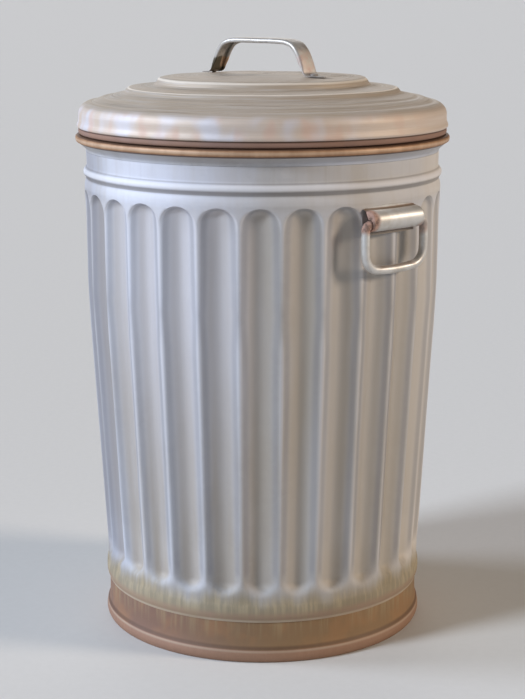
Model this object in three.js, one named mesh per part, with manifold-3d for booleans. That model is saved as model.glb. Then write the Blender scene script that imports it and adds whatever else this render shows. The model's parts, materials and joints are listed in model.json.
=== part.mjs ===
// A fluted galvanized steel refuse can with a lift-off lid and two drop handles.
//
// Millimetres, +Z up. The origin is on the floor, on the can's axis. The two drop handles
// sit on the +X and -X sides. Every pressed part is a thin sheet, drawn as the line of its
// outer face in (radius, height) and turned about Z. Separate pieces keep a small running gap.

import * as THREE from 'three'
import { mergeVertices } from 'three/addons/utils/BufferGeometryUtils.js'
import Module from 'manifold-3d'

const wasm = await Module()
wasm.setup()

// ---- Driving dimensions ---------------------------------------------------------------

const gap = 0.4 // between pieces that touch on the real can
const bodySheet = 0.8
const hoopSheet = 0.8
const lidSheet = 0.6
const bandSheet = 0.9
const panSheet = 0.8
const clipSheet = 1.2
const strapSheet = 1.4

// Fluted wall
const fluteCount = 28
const fluteDepth = 7
const fluteFootHeight = 80
const fluteApexHeight = 544
const fluteRunOut = 12 // length over which a flute fades to the plain wall at either end
const firstRidgeAngle = THREE.MathUtils.degToRad(2.3) // from +X

// Radii and heights of the can body and the rim hoop fitted into its top
const lapEdge = { radius: 197.3, height: 50 } // the body's lower edge, lapped over the base band
const lapTop = { radius: 197.2, height: 76 }
const lapBeadOut = 2.2
const shoulderRadius = 217.7
const shoulderHeight = 545
const neckRadius = 215.3
const neckBead = { low: 557, high: 572, out: 3.4 }
const bodyTop = 590
const hoopFoot = 577 // the hoop's lower edge, lapped inside the body
const stopBead = { radius: 228, height: 605, top: 609.9 } // carries the lid
const rimCurlRadius = 3.5
const rimHeight = 628.5

// Base band and bottom pan
const bandRadius = 196
const bandTop = 70
const footCurl = { radius: 195.4, height: 7.6, halfWidth: 5, halfHeight: 8 }
const footWireRadius = 3.2
const panHeight = 44
const panFlangeTop = 68

// Lid
const skirtRadius = 223.7
const lidCurl = { radius: 220.7, height: 613.8, roll: 3.5 } // rests on the bead
const lidPlate = { radius: 120, edge: 677.4, fall: 2.5 / 60 } // gently coned towards its edge
const lidTopHeight = 681

// Drop handles
const pivotRadius = 225.2 // distance of the pivot axis from the can's axis: the rod lies low in its sleeve
const pivotHeight = 522.6
const rodRadius = 5
const loopHalfWidth = 47.2 // to the centre of the rod
const loopDrop = 52.4
const loopTopBend = 6.5
const loopBottomBend = 20
const loopBow = 1.5 // how far the bottom bar sags at its middle
const rodButtGap = 2 // the rod's two ends meet inside the clip
const clipHalfLength = 41.2
const clipRadius = 12.5
const clipAxis = { radius: 221, height: 526 }
const clipFlangeHeight = 4
const clipSeatRadius = 218 // the flanges follow the wall at this radius

// Lid handle
const strapAngle = 5 // degrees from +X
const strapWidth = 24.5
const strapLip = 5 // depth of the rolled edges
const strapTop = 723.5
const strapHalfTop = 43
const strapHalfFoot = 75
const footRoot = strapHalfFoot - 9
const footTip = 101
const footUnderside = lidPlate.edge + (lidPlate.radius - footRoot) * lidPlate.fall + gap // at its root
const rivetReach = 82.5
const rivetShank = 2.4
const rivetHead = { radius: 5, height: 2.6 }
const rivetTail = { radius: 4, height: 1.4 }

// Facets around the axis. Nested rings share corner directions, so their gaps stay even.
const bodyFacets = fluteCount * 3
const lidFacets = fluteCount * 2
const baseFacets = fluteCount * 1.5
const wireFacets = 5

// ---- Finishes -------------------------------------------------------------------------

const finishes = {
  wall: { color: 0xa8a6a8, roughness: 0.45, metalness: 0.7 },
  lid: { color: 0xa69687, roughness: 0.55, metalness: 0.5 },
  rim: { color: 0xaa8972, roughness: 0.6, metalness: 0.4 },
  band: { color: 0x7d604e, roughness: 0.75, metalness: 0.3 },
  wire: { color: 0x6b5a4c, roughness: 0.7, metalness: 0.6 },
  handle: { color: 0xb9b5ae, roughness: 0.4, metalness: 0.8 },
}

// ---- Sheet outlines -------------------------------------------------------------------

const at = (radius, height) => new THREE.Vector2(radius, height)

/** Points along an ellipse arc, angles in degrees, counter-clockwise. */
function arc(centreRadius, centreHeight, halfWidth, halfHeight, from, to, steps) {
  return Array.from({ length: steps + 1 }, (_, i) => {
    const angle = THREE.MathUtils.degToRad(from + ((to - from) * i) / steps)
    return at(centreRadius + halfWidth * Math.cos(angle), centreHeight + halfHeight * Math.sin(angle))
  })
}

/** A rounded bead standing out of a straight wall between two points. */
function bead(start, end, out, steps) {
  return Array.from({ length: steps + 1 }, (_, i) => {
    const t = i / steps
    const point = start.clone().lerp(end, t)
    point.x += (out * (1 - Math.cos(2 * Math.PI * t))) / 2
    return point
  })
}

/** The same line moved to its left by a distance, with mitred corners. */
function offsetLine(line, distance) {
  const sides = line.slice(1).map((point, i) => {
    const along = point.clone().sub(line[i]).normalize()
    return at(-along.y, along.x)
  })
  return line.map((point, i) => {
    const before = sides[Math.max(i - 1, 0)]
    const after = sides[Math.min(i, sides.length - 1)]
    if (point.x === 0) return at(0, point.y + distance * Math.sign(before.y))
    const mitre = before.clone().add(after).normalize()
    return point.clone().addScaledVector(mitre, distance / mitre.dot(after))
  })
}

/** Closed profile of a sheet whose outer face is the given line. */
function sheetProfile(outer, thickness) {
  const inner = offsetLine(outer, thickness).reverse()
  if (outer[0].x === 0) return [...outer, ...inner]
  if (outer.at(-1).x === 0) return [...inner, ...outer]
  return [...outer, ...inner, outer[0]]
}

/** A profile turned about +Z, with its first corner on the first ridge. */
function turned(profile, facets) {
  const geometry = new THREE.LatheGeometry(profile, facets, Math.PI / 2 + firstRidgeAngle)
  return geometry.rotateX(Math.PI / 2)
}

function wireRing(radius, height, wireRadius, facets) {
  return turned(arc(radius, height, wireRadius, wireRadius, 0, 360, wireFacets), facets)
}

// ---- Solids that need a cut or a join ---------------------------------------------------

function toSolid(geometry) {
  geometry.deleteAttribute('normal')
  geometry.deleteAttribute('uv')
  const merged = mergeVertices(geometry, 1e-4)
  const index = merged.index.array
  const triangles = []
  for (let i = 0; i < index.length; i += 3) {
    const [a, b, c] = index.slice(i, i + 3)
    if (a !== b && b !== c && c !== a) triangles.push(a, b, c)
  }
  return new wasm.Manifold(
    new wasm.Mesh({
      numProp: 3,
      vertProperties: merged.attributes.position.array,
      triVerts: new Uint32Array(triangles),
    }),
  )
}

function toGeometry(solid) {
  const mesh = solid.getMesh()
  const geometry = new THREE.BufferGeometry()
  geometry.setAttribute('position', new THREE.BufferAttribute(mesh.vertProperties, 3))
  geometry.setIndex(new THREE.BufferAttribute(mesh.triVerts, 1))
  geometry.computeVertexNormals()
  return geometry
}

// ---- Can body -------------------------------------------------------------------------

/** How far the wall is pressed in at an angle and height: rounded flutes between sharp ridges. */
function flutePress(angle, height) {
  const turns = ((angle - firstRidgeAngle) * fluteCount) / (2 * Math.PI)
  const across = 2 * (turns - Math.floor(turns)) - 1 // -1 and 1 on the ridges, 0 mid-flute
  const section = 1 - across * across
  const archRise = (Math.PI * shoulderRadius) / fluteCount
  const archTop = fluteApexHeight - archRise * (1 - Math.sqrt(section))
  const top = THREE.MathUtils.smoothstep(archTop - height, 0, fluteRunOut)
  const foot = THREE.MathUtils.smoothstep(height - fluteFootHeight, 0, fluteRunOut)
  return fluteDepth * section * top * foot
}

function canBody() {
  const outer = [
    ...bead(at(lapEdge.radius, lapEdge.height), at(lapTop.radius, lapTop.height), lapBeadOut, 3),
    at(198.3, fluteFootHeight + fluteRunOut),
    at(214, 380),
    at(217, fluteApexHeight - fluteRunOut),
    at(shoulderRadius, shoulderHeight),
    ...bead(at(neckRadius, neckBead.low), at(neckRadius, neckBead.high), neckBead.out, 2),
    at(neckRadius, bodyTop),
  ]
  const geometry = turned(sheetProfile(outer, bodySheet), bodyFacets)
  const position = geometry.attributes.position
  for (let i = 0; i < position.count; i++) {
    const x = position.getX(i)
    const y = position.getY(i)
    const radius = Math.hypot(x, y)
    const scale = 1 - flutePress(Math.atan2(y, x), position.getZ(i)) / radius
    position.setXY(i, x * scale, y * scale)
  }
  return geometry
}

/** Hoop that stiffens the can's mouth: a collar, the bead the lid rests on and a rolled rim. */
function rimHoop() {
  const collarRadius = neckRadius - bodySheet - gap
  const outer = [
    at(collarRadius, hoopFoot),
    at(collarRadius, bodyTop + 0.5),
    at(stopBead.radius - 3, stopBead.height - 4.9),
    at(stopBead.radius, stopBead.height),
    at(stopBead.radius - 2.8, stopBead.top),
    at(neckRadius + 0.6, stopBead.top),
    at(neckRadius, stopBead.top + 2),
    ...arc(neckRadius - rimCurlRadius, rimHeight - rimCurlRadius, rimCurlRadius, rimCurlRadius, 0, 290, 4),
  ]
  return turned(sheetProfile(outer, hoopSheet), bodyFacets)
}

function rimWire() {
  return wireRing(neckRadius - rimCurlRadius, rimHeight - rimCurlRadius, 1.7, bodyFacets)
}

// ---- Base -----------------------------------------------------------------------------

function baseBand() {
  const { radius, height, halfWidth, halfHeight } = footCurl
  const curl = arc(radius, height, halfWidth, halfHeight, 165, 375, 7)
  for (const point of curl) point.y = Math.max(point.y, 0) // pressed flat on the floor
  const outer = [...curl, at(197, 22.5), at(bandRadius, 30), at(bandRadius, bandTop)]
  return turned(sheetProfile(outer, bandSheet), baseFacets)
}

function baseWire() {
  return wireRing(footCurl.radius, footCurl.height, footWireRadius, baseFacets)
}

function bottomPan() {
  const rimRadius = bandRadius - bandSheet - gap
  const outer = [
    at(0, panHeight + 2.5),
    at(118, panHeight + 2.5),
    at(124, panHeight),
    at(rimRadius - 6, panHeight),
    at(rimRadius, panHeight + 6),
    at(rimRadius, panFlangeTop),
  ]
  return turned(sheetProfile(outer, panSheet), baseFacets)
}

// ---- Drop handles ---------------------------------------------------------------------

/** Centre line of the bent rod in the plane x = 0, from one butted end round to the other. */
function loopCentreLine() {
  const quarter = (y, z, radius, from) =>
    arc(y, z, radius, radius, from, from - 90, 4).map((p) => new THREE.Vector3(0, p.x, p.y))
  const topY = loopHalfWidth - loopTopBend
  const bottomY = loopHalfWidth - loopBottomBend
  const half = [
    new THREE.Vector3(0, rodButtGap / 2, 0),
    new THREE.Vector3(0, topY / 2, 0),
    ...quarter(topY, -loopTopBend, loopTopBend, 90),
    ...quarter(bottomY, loopBottomBend - loopDrop, loopBottomBend, 0),
  ]
  const bottom = new THREE.Vector3(0, 0, -loopDrop - loopBow)
  const otherHalf = half.map((p) => new THREE.Vector3(0, -p.y, p.z)).reverse()
  return new THREE.CatmullRomCurve3([...half, bottom, ...otherHalf])
}

function handleLoop() {
  const section = new THREE.Shape(arc(0, 0, rodRadius, rodRadius, 0, 315, 7))
  const geometry = new THREE.ExtrudeGeometry(section, { steps: 38, extrudePath: loopCentreLine() })
  return geometry.translate(pivotRadius, 0, pivotHeight)
}

/** A length of section in the XZ plane, extruded along Y about y = 0. */
function extrudedAlongY(shape, halfLength) {
  const geometry = new THREE.ExtrudeGeometry(shape, {
    depth: 2 * halfLength,
    bevelEnabled: false,
    curveSegments: 8,
  })
  return geometry.rotateX(Math.PI / 2).translate(0, halfLength, 0)
}

/** Half-round sleeve over the rod, with flanges that follow the wall above and below it. */
function handleClip() {
  const { radius, height } = clipAxis
  const inner = clipRadius - clipSheet
  const back = radius - clipRadius
  const sleeveShape = new THREE.Shape()
  sleeveShape.moveTo(back, height - clipRadius)
  sleeveShape.lineTo(radius, height - clipRadius)
  sleeveShape.absarc(radius, height, clipRadius, -Math.PI / 2, Math.PI / 2, false)
  sleeveShape.lineTo(back, height + clipRadius)
  sleeveShape.lineTo(back, height + inner)
  sleeveShape.lineTo(radius, height + inner)
  sleeveShape.absarc(radius, height, inner, Math.PI / 2, -Math.PI / 2, true)
  sleeveShape.lineTo(back, height - inner)
  sleeveShape.closePath()

  const ring = (low, high) => {
    const near = clipSeatRadius
    const far = clipSeatRadius + clipSheet
    return toSolid(turned([at(far, low), at(far, high), at(near, high), at(near, low), at(far, low)], bodyFacets))
  }
  const room = toSolid(
    new THREE.BoxGeometry(4 * clipRadius, 2 * clipHalfLength, 4 * clipRadius).translate(radius, 0, height),
  )
  const upper = ring(height + inner, height + clipRadius + clipFlangeHeight)
  const lower = ring(height - clipRadius - clipFlangeHeight, height - inner)
  const wall = toSolid(turned([at(0, 0), at(clipSeatRadius, 0), at(clipSeatRadius, 700), at(0, 700)], bodyFacets))
  const sleeve = toSolid(extrudedAlongY(sleeveShape, clipHalfLength)).subtract(wall)
  return toGeometry(sleeve.add(upper.add(lower).intersect(room)))
}

// ---- Lid ------------------------------------------------------------------------------

function rivetHole(side) {
  const x = side * rivetReach
  const drill = new THREE.CylinderGeometry(rivetShank + gap, rivetShank + gap, 40, 12)
  return toSolid(drill.rotateX(Math.PI / 2).translate(x, 0, footUnderside))
}

const strapDirection = THREE.MathUtils.degToRad(strapAngle)

function lidShell() {
  const { radius, height, roll } = lidCurl
  const outer = [
    ...arc(radius, height, roll, roll, 115, 360, 4),
    at(223.4, 617.6),
    at(225.9, 621.2),
    at(skirtRadius, 626.5),
    at(skirtRadius, 636),
    at(221, 642.4),
    at(213, 648.4),
    at(186, 655),
    at(170, 658.3),
    at(164, 664.2),
    at(132, 667),
    at(127, 674),
    at(lidPlate.radius, lidPlate.edge),
    at(lidPlate.radius / 2, lidPlate.edge + (lidPlate.radius / 2) * lidPlate.fall),
    at(0, lidTopHeight),
  ]
  const shell = toSolid(turned(sheetProfile(outer, lidSheet), lidFacets))
  const holes = rivetHole(1).add(rivetHole(-1)).rotate([0, 0, strapAngle])
  return toGeometry(shell.subtract(holes))
}

function lidWire() {
  return wireRing(lidCurl.radius, lidCurl.height, 1.9, lidFacets)
}

/** The strap handle along X: a channel with rolled edges, on two leaf-shaped feet. */
function lidHandle() {
  const rise = strapTop - footUnderside
  const corners = [
    [strapHalfFoot, 0.5],
    [strapHalfFoot - 5, 0.28 * rise],
    [strapHalfFoot - 13, 0.6 * rise],
    [strapHalfTop + 10, 0.86 * rise],
    [strapHalfTop - 2, 0.985 * rise],
  ]
  const left = corners.map(([x, z]) => new THREE.Vector3(-x, 0, footUnderside + z))
  const right = corners.map(([x, z]) => new THREE.Vector3(x, 0, footUnderside + z)).reverse()
  const crown = new THREE.Vector3(0, 0, strapTop)
  const path = new THREE.CatmullRomCurve3([...left, crown, ...right])

  const half = strapWidth / 2
  const channel = [at(-half, strapLip), at(-half, 2), at(-half + 2.5, 0), at(half - 2.5, 0), at(half, 2), at(half, strapLip)]
  const inside = offsetLine(channel, strapSheet).reverse()
  const section = new THREE.Shape([...channel, ...inside])
  const strap = toSolid(new THREE.ExtrudeGeometry(section, { steps: 24, extrudePath: path }))

  const leaf = new THREE.Shape()
  leaf.moveTo(footRoot, -half)
  leaf.lineTo(strapHalfFoot + 5, -half)
  leaf.quadraticCurveTo(footTip - 8, -half + 2, footTip, 0)
  leaf.quadraticCurveTo(footTip - 8, half - 2, strapHalfFoot + 5, half)
  leaf.lineTo(footRoot, half)
  leaf.closePath()
  const foot = (side) => {
    const pad = new THREE.ExtrudeGeometry(leaf, { depth: strapSheet, bevelEnabled: false, curveSegments: 6 })
    pad.translate(-footRoot, 0, 0).rotateY(Math.atan(lidPlate.fall)).translate(footRoot, 0, footUnderside)
    if (side < 0) pad.rotateZ(Math.PI)
    return toSolid(pad).subtract(rivetHole(side))
  }
  const handle = strap.trimByPlane([0, 0, 1], footUnderside).add(foot(1)).add(foot(-1))
  return toGeometry(handle)
}

/** A round-headed rivet along Z through the handle's foot and the lid, at the origin in plan. */
function lidRivet() {
  const footHere = footUnderside - (rivetReach - footRoot) * lidPlate.fall
  const seat = footHere + strapSheet + gap + rivetHead.radius * lidPlate.fall
  const tailTop = footHere - 2.4
  const dome = arc(0, seat, rivetHead.radius, rivetHead.height, 0, 90, 3)
  dome.at(-1).x = 0
  const profile = [
    at(0, tailTop - rivetTail.height),
    at(rivetTail.radius, tailTop - rivetTail.height),
    at(rivetTail.radius, tailTop),
    at(rivetShank, tailTop),
    at(rivetShank, seat),
    ...dome,
  ]
  return turned(profile, 10)
}

// ---- Assembly -------------------------------------------------------------------------

function part(name, geometry, finish) {
  const mesh = new THREE.Mesh(geometry, new THREE.MeshStandardMaterial(finishes[finish]))
  mesh.name = name
  return mesh
}

const can = new THREE.Group()
can.add(part('can_body', canBody(), 'wall'))
can.add(part('rim_hoop', rimHoop(), 'rim'))
can.add(part('rim_wire', rimWire(), 'wire'))
can.add(part('base_band', baseBand(), 'band'))
can.add(part('base_wire', baseWire(), 'wire'))
can.add(part('bottom_pan', bottomPan(), 'wall'))

for (const [side, turn] of [['right', 0], ['left', Math.PI]]) {
  const handle = new THREE.Group()
  handle.add(part(`handle_clip_${side}`, handleClip(), 'handle'))
  handle.add(part(`handle_loop_${side}`, handleLoop(), 'handle'))
  handle.rotation.z = turn
  can.add(handle)
}

const lid = new THREE.Group()
lid.add(part('lid_shell', lidShell(), 'lid'))
lid.add(part('lid_wire', lidWire(), 'wire'))

const strap = new THREE.Group()
strap.add(part('lid_handle', lidHandle(), 'handle'))
for (const [side, direction] of [['right', 1], ['left', -1]]) {
  const rivet = part(`lid_rivet_${side}`, lidRivet(), 'handle')
  rivet.position.x = direction * rivetReach
  strap.add(rivet)
}
strap.rotation.z = strapDirection
lid.add(strap)
can.add(lid)

export default can
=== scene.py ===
"""The looks of a weathered, fluted galvanized refuse can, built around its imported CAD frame.

Lengths are millimetres in the row frame and become metres when a mesh is made. Named angles and those
handed to arc are degrees; directions round the axis, such as a press function's, are radians.
Every pressed part is a thin sheet: the line of its outer face is drawn in (radius, height), moved
inwards by the sheet's thickness for its other face, and turned about the can's axis.
"""

import json
import math

import bmesh
import bpy
import numpy as np
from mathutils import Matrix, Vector


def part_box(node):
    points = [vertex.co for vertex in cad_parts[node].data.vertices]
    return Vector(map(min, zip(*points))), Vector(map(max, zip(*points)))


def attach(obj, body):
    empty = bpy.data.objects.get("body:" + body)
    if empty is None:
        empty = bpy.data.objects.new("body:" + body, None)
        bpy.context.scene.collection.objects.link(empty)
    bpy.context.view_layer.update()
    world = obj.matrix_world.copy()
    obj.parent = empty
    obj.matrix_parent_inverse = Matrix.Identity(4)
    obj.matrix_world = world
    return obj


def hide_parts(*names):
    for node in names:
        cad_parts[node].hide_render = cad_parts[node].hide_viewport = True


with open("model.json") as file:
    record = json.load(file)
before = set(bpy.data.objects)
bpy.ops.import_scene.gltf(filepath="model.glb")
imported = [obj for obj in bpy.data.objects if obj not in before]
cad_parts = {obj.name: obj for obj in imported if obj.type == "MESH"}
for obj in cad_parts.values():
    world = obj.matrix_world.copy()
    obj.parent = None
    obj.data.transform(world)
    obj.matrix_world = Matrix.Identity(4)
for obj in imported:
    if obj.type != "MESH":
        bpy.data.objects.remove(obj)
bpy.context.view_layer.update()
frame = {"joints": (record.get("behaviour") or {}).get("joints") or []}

MM = 0.001


def cad(node):
    """Lowest and highest corner of a CAD node at rest, in millimetres."""
    low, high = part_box(node)
    return low / MM, high / MM


def pivot(joint_name):
    """Where a hinge's axis is, in millimetres."""
    joint = next(j for j in frame["joints"] if j["name"] == joint_name)
    return Vector(joint["pos_m"]) / MM


# ---- Sizes ------------------------------------------------------------------------------

BODY_TOP = cad("can_body")[1].z
BAND_TOP = cad("base_band")[1].z
LID_TOP = cad("lid_shell")[1].z
HOOP_LOW, HOOP_HIGH = cad("rim_hoop")
PAN_LOW, PAN_HIGH = cad("bottom_pan")
STRAP_LOW, STRAP_HIGH = cad("lid_handle")
CLIP_LOW, CLIP_HIGH = cad("handle_clip_right")
PIVOT = pivot("right_handle_swing")

# Sheet thicknesses
BODY_SHEET = 0.8  # also the hoop, the pan and the lid
BAND_SHEET = 0.9
CLIP_SHEET = 1.2
STRAP_SHEET = 1.3

# The wall. Its arches' rows of points, between the two ARCH_ZONE heights, bend to follow each arch.
FLUTES = 28
FIRST_RIDGE = 2.3  # direction of a ridge, anticlockwise from +X
FLUTE_DEPTH = 9.5
FLUTE_APEX = 544.0
FLUTE_FOOT = 80.0
FOOT_RUN_OUT = 15.0
ARCH_RADIUS = 217.0
ARCH_ZONE = (500.0, 549.0)
CLIP_PAD_DROP = 14.0
RIDGE_SHARE = 0.06
RIDGE_ROUNDING = 0.34
HOLLOW_ROUNDING = 0.09
COLUMNS_PER_FLUTE = 16
SKIRT_TOP = 79.0
SEAM_RIDGE = 7
SEAM_HALF_WIDTH = 5.5
SEAM_HEIGHT = 0.9

# The neck and the rolled edges
NECK = 215.3
RIM_ROLL = 3.5
RIM_WIRE = 1.7
FOOT_CENTRE = (195.4, 7.6)
FOOT_WIRE = 3.2
LID_CURL_CENTRE = (220.7, 613.8)
LID_WIRE = 1.9

# The handles
ROD = cad("handle_loop_right")[1].x - PIVOT.x
ROD_BOW = 1.5
TOP_BEND = 6.5
BOTTOM_BEND = 20.0
SLEEVE_RADIUS = 12.5
MOUTH_RADIUS = 5.9
CLIP_FACE = 219.3
STRAP_ANGLE = 5.0
STRAP_HALF_WIDTH = 12.1
STRAP_TIP = 99.5
STRAP_FALL = 2.5 / 60

# The camera
CAMERA_AZIMUTH = 47.9
CAMERA_DISTANCE = 2063.5
CAMERA_HEIGHT = 790.2
CAMERA_PITCH = 12.38
CAMERA_LENS = 86.45


# ---- Lines and outlines -------------------------------------------------------------------

def arc(centre, radii, start, end, steps):
    """Points on an ellipse arc, counter-clockwise from start to end."""
    angles = np.radians(np.linspace(start, end, steps + 1))
    return [(centre[0] + radii[0] * math.cos(a), centre[1] + radii[1] * math.sin(a)) for a in angles]


def smooth(points, spacing):
    """A smooth curve through the points, with steps of about the given length."""
    line = np.array(points, float)
    padded = np.vstack([2 * line[0] - line[1], line, 2 * line[-1] - line[-2]])
    result = [line[0]]
    for i in range(1, len(line)):
        a, b, c, d = padded[i - 1:i + 3]
        steps = max(1, int(round(np.linalg.norm(c - b) / spacing)))
        for t in np.linspace(0, 1, steps + 1)[1:]:
            result.append(0.5 * (2 * b + (c - a) * t + (2 * a - 5 * b + 4 * c - d) * t**2
                                 + (3 * b - a - 3 * c + d) * t**3))
    return [tuple(p) for p in result]


def moved_left(line, distance):
    """The line moved to its left, with mitred corners. A point on the axis stays on it."""
    line = np.array(line, float)
    along = np.diff(line, axis=0)
    along /= np.linalg.norm(along, axis=1, keepdims=True)
    normal = np.stack([-along[:, 1], along[:, 0]], axis=1)
    before = np.vstack([normal[:1], normal])
    after = np.vstack([normal, normal[-1:]])
    mitre = before + after
    mitre /= np.linalg.norm(mitre, axis=1, keepdims=True)
    reach = distance / np.maximum((mitre * after).sum(axis=1), 0.5)
    moved = line + mitre * reach[:, None]
    on_axis = line[:, 0] == 0
    moved[on_axis] = line[on_axis] + np.array([0, distance]) * np.sign(after[on_axis][:, 1:2])
    return moved


def ripple(angle, height, size, seed):
    """A gentle unevenness over the wall, the same on both faces of the sheet."""
    random = np.random.RandomState(seed)
    total = np.zeros(np.broadcast(angle, height).shape)
    for _ in range(9):
        around = random.randint(1, 9)
        along = random.uniform(0.002, 0.02)
        phase = random.uniform(0, 2 * math.pi, 2)
        total = total + np.sin(around * angle + phase[0]) * np.sin(along * height + phase[1])
    return size * total / 3


# ---- Meshes -------------------------------------------------------------------------------

def finish_mesh(name, vertices, faces, body, slot, replaces, sharp=35.0, finish=None):
    """Makes a smooth-shaded object from points in millimetres and ties it to the frame."""
    mesh = bpy.data.meshes.new(name)
    mesh.from_pydata((np.asarray(vertices, float) * MM).tolist(), [], faces)
    edit = bmesh.new()
    edit.from_mesh(mesh)
    bmesh.ops.remove_doubles(edit, verts=edit.verts, dist=1e-6)
    bmesh.ops.recalc_face_normals(edit, faces=edit.faces)
    edit.to_mesh(mesh)
    edit.free()
    mesh.polygons.foreach_set("use_smooth", [True] * len(mesh.polygons))
    mesh.set_sharp_from_angle(angle=math.radians(sharp))
    piece = bpy.data.objects.new(name, mesh)
    bpy.context.scene.collection.objects.link(piece)
    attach(piece, body)
    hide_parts(*replaces)
    mesh.materials.append(FINISHES[finish or slot])
    return piece


def strip(first, second):
    """Quads between two rows of vertex numbers."""
    return [(first[i], first[i + 1], second[i + 1], second[i]) for i in range(len(first) - 1)]


def sheet_mesh(outer, inner, closed):
    """Vertices and faces of a sheet between two grids of points, rows by columns.

    With closed True the last row joins the first. The edges of the sheet are closed by strips.
    """
    rows, columns = outer.shape[:2]
    vertices = np.vstack([outer.reshape(-1, 3), inner.reshape(-1, 3)])
    numbers = np.arange(rows * columns).reshape(rows, columns)
    if closed:
        numbers = np.vstack([numbers, numbers[:1]])
    back = numbers + rows * columns
    faces = []
    for i in range(len(numbers) - 1):
        faces += strip(numbers[i + 1], numbers[i])
        faces += strip(back[i], back[i + 1])
    faces += strip(back[:, 0], numbers[:, 0])
    faces += strip(numbers[:, -1], back[:, -1])
    if not closed:
        faces += strip(numbers[0], back[0])
        faces += strip(back[-1], numbers[-1])
    return vertices, [tuple(int(v) for v in face) for face in faces]


def turned(line, thickness, angles, press=None):
    """A sheet turned about the axis. press moves (angle, radius, height) of both faces alike."""
    faces = []
    for face in (np.array(line, float), moved_left(line, thickness)):
        angle, radius = np.meshgrid(angles, face[:, 0], indexing="ij")
        height = np.broadcast_to(face[:, 1], radius.shape)
        if press:
            radius, height = press(angle, radius, height)
        faces.append(np.stack([radius * np.cos(angle), radius * np.sin(angle), height], axis=2))
    return sheet_mesh(*faces, closed=True)


def round_angles(count):
    """Even directions round the axis, in radians, from the first ridge on."""
    return np.radians(FIRST_RIDGE) + np.linspace(0, 2 * math.pi, count, endpoint=False)


def tube(path, side, radius, sides=20):
    """Vertices and faces of a round rod along a flat path. side is the normal of the path's plane."""
    path = np.array(path, float)
    along = np.gradient(path, axis=0)
    along /= np.linalg.norm(along, axis=1, keepdims=True)
    across = np.cross(along, side)
    turn = np.linspace(0, 2 * math.pi, sides, endpoint=False)
    radius = np.broadcast_to(radius, len(path))
    rings = (path[:, None] + radius[:, None, None] * (
        np.cos(turn)[None, :, None] * across[:, None] + np.sin(turn)[None, :, None] * np.array(side)))
    count = len(path)
    faces = []
    for i in range(count - 1):
        for j in range(sides):
            k = (j + 1) % sides
            faces.append((i * sides + j, (i + 1) * sides + j, (i + 1) * sides + k, i * sides + k))
    faces.append(tuple(range(sides)))
    faces.append(tuple((count - 1) * sides + j for j in reversed(range(sides))))
    return rings.reshape(-1, 3), faces


# ---- Can body ---------------------------------------------------------------------------

WALL_LINE = [(197.4, SKIRT_TOP), (198.0, 98), (199.3, 118), (205.2, 224), (211.2, 328), (214.2, 380),
             (216.0, 430), (216.4, 480), (216.6, 515), (217.2, 530), (217.8, 545), (217.7, 550)]


def flute_angles():
    """Directions of the columns, closer together near the ridges."""
    share = np.arange(COLUMNS_PER_FLUTE) / COLUMNS_PER_FLUTE
    crowded = share - 0.055 * np.sin(2 * math.pi * share)
    pitch = 2 * math.pi / FLUTES
    ridges = np.radians(FIRST_RIDGE) + pitch * np.arange(FLUTES)
    return (ridges[:, None] + pitch * crowded[None, :]).ravel()


def flute_across(angle):
    """Where an angle is across its flute: -1 and 1 on the ridges, 0 in the middle."""
    turns = (angle - math.radians(FIRST_RIDGE)) * FLUTES / (2 * math.pi)
    return 2 * (turns - np.floor(turns + 1e-9)) - 1


def arch_height(angle):
    """Height of the arched upper edge of a flute. Flutes behind a handle clip end lower."""
    half_width = math.pi * ARCH_RADIUS / FLUTES
    across = flute_across(angle)
    middle = angle - across * math.pi / FLUTES
    behind_clip = np.abs(np.sin(middle)) * ARCH_RADIUS < CLIP_HIGH.y
    rounding = half_width * (1 - np.sqrt(np.maximum(1 - (0.985 * across) ** 2, 0)))
    return FLUTE_APEX - rounding - np.where(behind_clip, CLIP_PAD_DROP, 0.0)


def from_seam(angle):
    """Distance around the wall from the middle of its lock seam, which is on a ridge at the back."""
    seam = math.radians(FIRST_RIDGE + 360 / FLUTES * SEAM_RIDGE)
    return np.abs((angle - seam + math.pi) % (2 * math.pi) - math.pi) * NECK


def flute_press(angle, height):
    """How far the wall is pressed in."""
    across = flute_across(angle)
    flank_reach = math.hypot(1 - RIDGE_SHARE, RIDGE_ROUNDING) - RIDGE_ROUNDING
    flank = (np.sqrt(across**2 + RIDGE_ROUNDING**2) - RIDGE_ROUNDING) / flank_reach
    section = (1 - flank + np.sqrt((1 - flank) ** 2 + HOLLOW_ROUNDING**2)) / 2
    inside_arch = np.clip((arch_height(angle) - height) / 9.0, 0, 1)
    top = 1 - (1 - inside_arch) ** 2.2
    foot_line = FLUTE_FOOT + 9 * across**2
    inside_foot = np.clip((height - foot_line) / FOOT_RUN_OUT, 0, 1)
    foot = inside_foot**2 * (3 - 2 * inside_foot)
    beside_seam = np.clip((from_seam(angle) - SEAM_HALF_WIDTH) / 6.0, 0, 1)
    return FLUTE_DEPTH * section * top * foot * beside_seam


def press_wall(angle, radius, height):
    """Flutes, with the rows bent to follow the arched flute tops, a lock seam and some dents."""
    low, high = ARCH_ZONE
    table_radius, table_height = np.array(WALL_LINE).T
    middle = FLUTE_APEX
    edge = arch_height(angle)
    below = (height > low) & (height <= middle)
    above = (height > middle) & (height < high)
    bent = np.where(below, low + (height - low) * (edge - low) / (middle - low), height)
    bent = np.where(above, edge + (height - middle) * (high - edge) / (high - middle), bent)
    shifted = radius + np.where(
        below | above,
        np.interp(bent, table_height, table_radius) - np.interp(height, table_height, table_radius), 0)
    on_wall = np.clip((bent - 80) / 40, 0, 1) * np.clip((585 - bent) / 40, 0, 1)
    seam = SEAM_HEIGHT * np.clip(SEAM_HALF_WIDTH - from_seam(angle), 0, 1)
    dents = ripple(angle, bent, 0.35, seed=4) * on_wall
    return shifted - flute_press(angle, bent) + seam + dents, bent


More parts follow.
